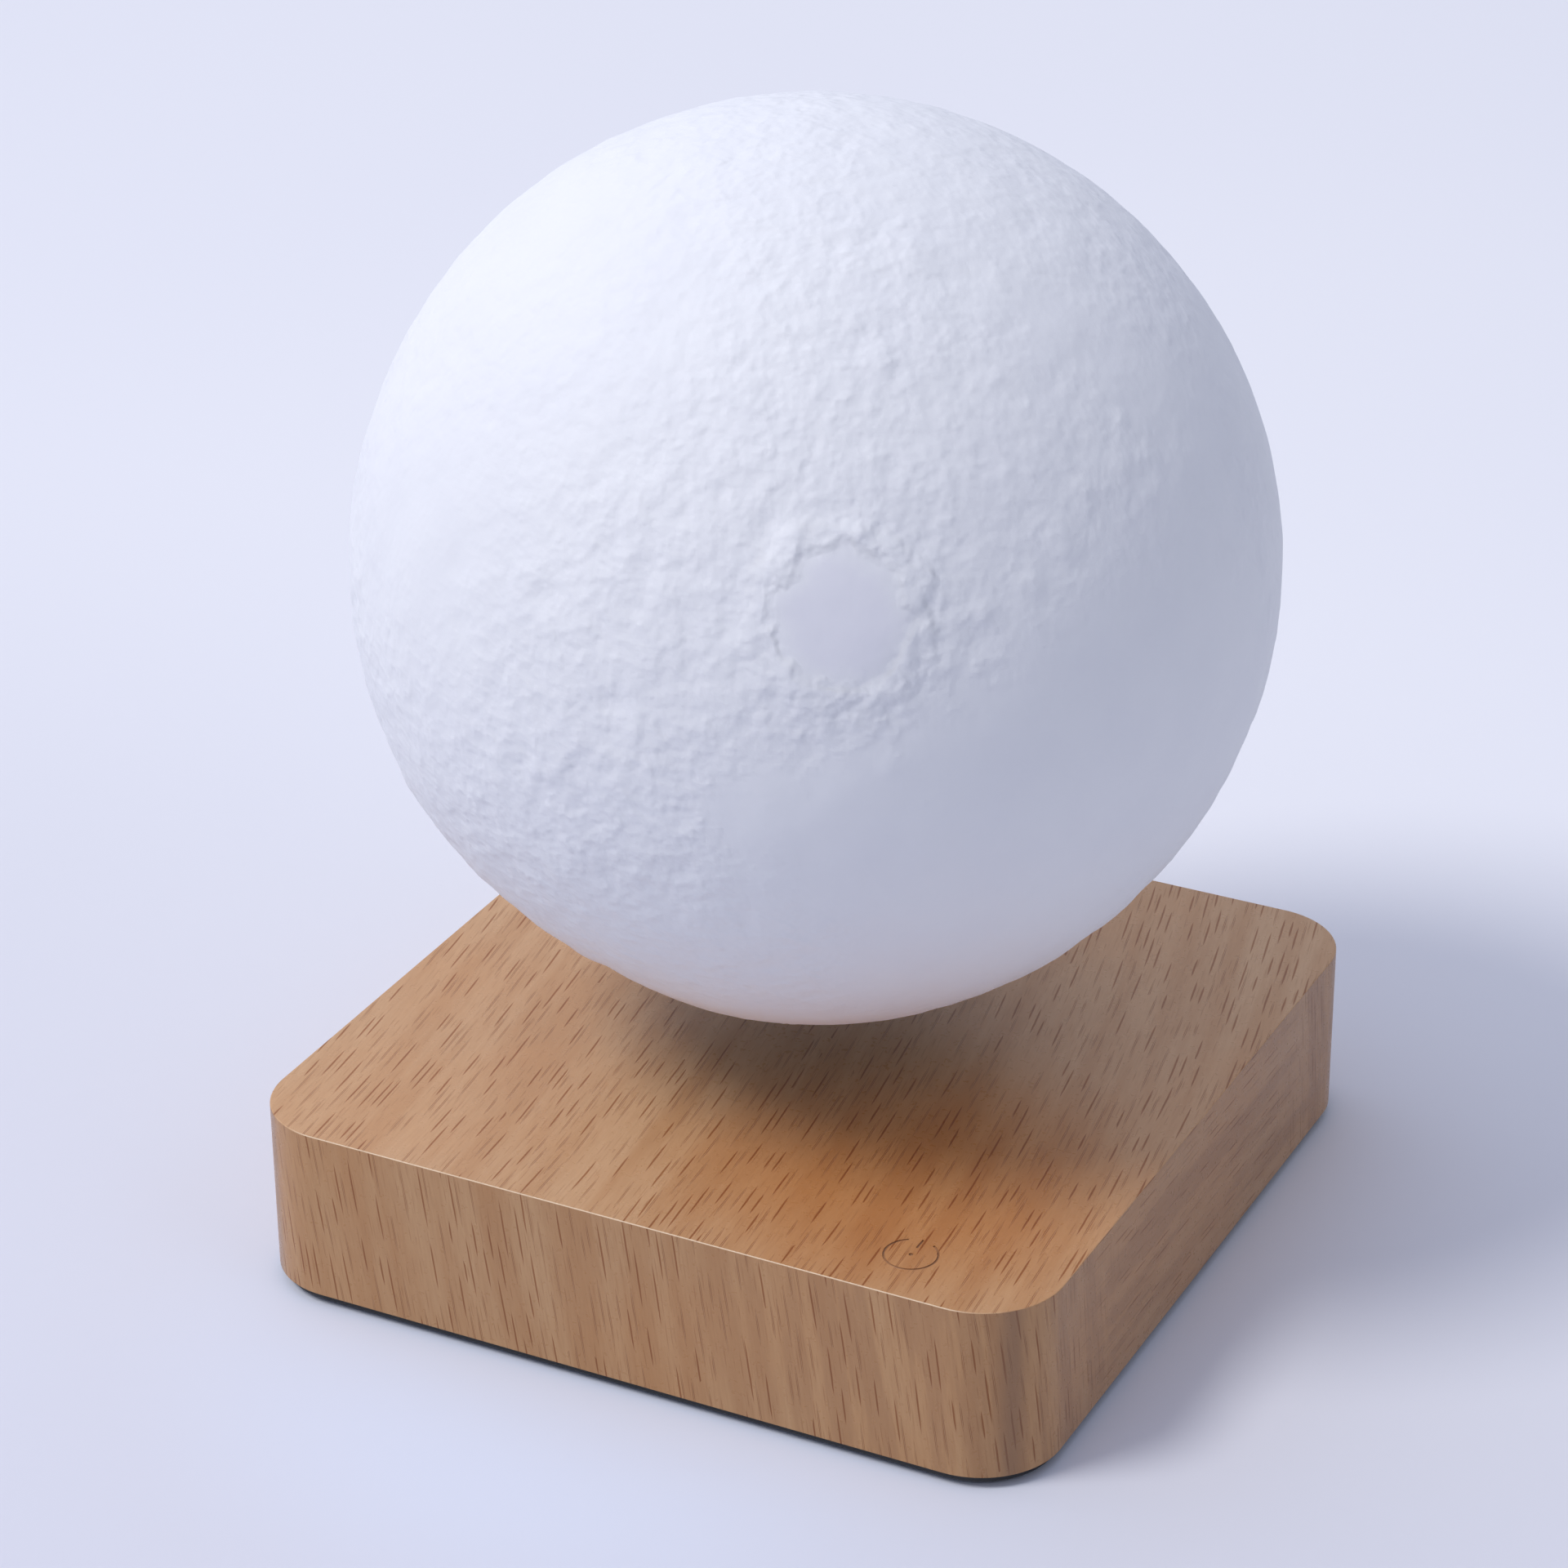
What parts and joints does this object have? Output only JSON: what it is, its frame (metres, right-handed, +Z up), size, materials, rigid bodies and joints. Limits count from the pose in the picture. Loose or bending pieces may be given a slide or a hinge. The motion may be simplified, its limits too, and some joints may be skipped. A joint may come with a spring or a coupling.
{
  "type": "levitating lamp",
  "caption": "White moon globe that floats and turns over a square wood-grain base with magnet, coils, power inlet and a touch mark on top.",
  "frame": {"origin": "on the table, under the middle of the square base", "axes": "+Z up through the globe's centre, -Y the front where the touch mark is, +X the base's right side"},
  "size_m": [0.15, 0.15, 0.1931],
  "materials": {
    "wood_film": "satin, brown dashes of grain",
    "black_plastic": "matte",
    "rubber": "matte",
    "screw_steel": "satin",
    "grey_plastic": "matte",
    "ferrite": "matte",
    "circuit_board": "satin",
    "copper_wire": "varnished",
    "core_iron": "dull",
    "chip_plastic": "matte",
    "capacitor_sleeve": "gloss",
    "heat_sink_aluminium": "satin",
    "ribbon_plastic": "matte",
    "wire_insulation": "satin",
    "magnet_plating": "bright",
    "white_print": "matte, printed",
    "white_plastic": "matte",
    "led_lens": "gloss"
  },
  "bodies": {
    "base": {"base_housing": "wood_film", "bottom_plate": "black_plastic", "foot_1": "rubber", "foot_2": "rubber", "foot_3": "rubber", "foot_4": "rubber", "plate_screw_1": "screw_steel", "plate_screw_2": "screw_steel", "plate_screw_3": "screw_steel", "plate_screw_4": "screw_steel", "magnet_tray": "grey_plastic", "ring_magnet": "ferrite", "levitation_board": "circuit_board", "module_screw_1": "screw_steel", "module_screw_2": "screw_steel", "module_screw_3": "screw_steel", "module_screw_4": "screw_steel", "coil_bobbin_1": "black_plastic", "coil_bobbin_2": "black_plastic", "coil_bobbin_3": "black_plastic", "coil_bobbin_4": "black_plastic", "coil_winding_1": "copper_wire", "coil_winding_2": "copper_wire", "coil_winding_3": "copper_wire", "coil_winding_4": "copper_wire", "coil_core_1": "core_iron", "coil_core_2": "core_iron", "coil_core_3": "core_iron", "coil_core_4": "core_iron", "hall_sensor_x": "chip_plastic", "hall_sensor_y": "chip_plastic", "hall_sensor_z": "chip_plastic", "control_board": "circuit_board", "control_board_screw_1": "screw_steel", "control_board_screw_2": "screw_steel", "dc_jack": "black_plastic", "dc_jack_pin": "screw_steel", "power_capacitor": "capacitor_sleeve", "power_inductor": "ferrite", "control_chip": "chip_plastic", "heat_sink": "heat_sink_aluminium", "power_transistor_1": "chip_plastic", "power_transistor_2": "chip_plastic", "board_ribbon": "ribbon_plastic", "transmitter_coil": "copper_wire", "transmitter_lead": "copper_wire", "touch_board": "circuit_board", "touch_wire": "wire_insulation"},
    "lift_magnet": {"float_magnet": "magnet_plating"},
    "moon": {"moon_shell": "white_print", "moon_cap": "white_plastic", "receiver_coil": "copper_wire", "receiver_board": "circuit_board", "receiver_capacitor": "capacitor_sleeve", "led_1": "led_lens", "led_2": "led_lens", "led_3": "led_lens", "cap_screw_1": "screw_steel", "cap_screw_2": "screw_steel", "cap_screw_3": "screw_steel"}
  },
  "joints": [
    {"name": "moon_lift", "type": "slide", "parent": "base", "child": "lift_magnet", "axis": [0, 0, 1], "range_m": [-0.0181, 0.06], "stiffness_N_per_m": 43.1, "springref_m": 0.06},
    {"name": "moon_spin", "type": "hinge", "parent": "lift_magnet", "child": "moon", "pos_m": [0, 0, 0.118], "axis": [0, 0, 1], "continuous": true}
  ]
}
